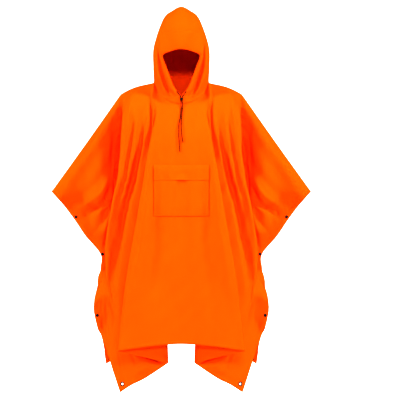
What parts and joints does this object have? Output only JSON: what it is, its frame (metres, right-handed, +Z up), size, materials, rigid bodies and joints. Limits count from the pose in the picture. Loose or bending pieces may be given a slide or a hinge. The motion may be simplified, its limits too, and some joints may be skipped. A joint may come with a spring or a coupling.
{
  "type": "rain poncho",
  "caption": "Hooded rain poncho in its worn, hollow shape, with a drawcord face opening, a flapped chest pocket, snapped side edges and corner grommets.",
  "frame": {"origin": "middle of the neck opening at the height of the shoulder line, where the wearer's neck and shoulders carry the poncho", "axes": "+X to the viewer's right when seen from the front, -Y to the front, +Z up"},
  "size_m": [1.01, 0.4228, 1.4851],
  "materials": {
    "cloth": "coated plain-weave taffeta with a soft sheen",
    "cord": "braided, matte",
    "plastic": "moulded, satin",
    "grommet": "dark nickel-plated, worn at the rim"
  },
  "bodies": {
    "root": {"front_panel": "cloth", "back_panel_left": "cloth", "back_panel_right": "cloth", "hood_side_left": "cloth", "hood_side_right": "cloth", "hood_crown": "cloth", "hood_visor": "cloth", "face_hem_left": "cloth", "face_hem_right": "cloth", "chest_pocket": "cloth", "pocket_flap": "cloth", "drawcord_left": "cord", "drawcord_right": "cord", "cord_lock": "plastic", "snap_left_1_front": "plastic", "snap_left_1_stud": "plastic", "snap_left_1_back": "plastic", "snap_left_2_front": "plastic", "snap_left_2_stud": "plastic", "snap_left_2_back": "plastic", "snap_left_3_front": "plastic", "snap_left_3_stud": "plastic", "snap_left_3_back": "plastic", "snap_right_1_front": "plastic", "snap_right_1_stud": "plastic", "snap_right_1_back": "plastic", "snap_right_2_front": "plastic", "snap_right_2_stud": "plastic", "snap_right_2_back": "plastic", "snap_right_3_front": "plastic", "snap_right_3_stud": "plastic", "snap_right_3_back": "plastic", "grommet_front_left": "grommet", "grommet_front_right": "grommet", "grommet_back_left": "grommet", "grommet_back_right": "grommet"}
  },
  "joints": []
}
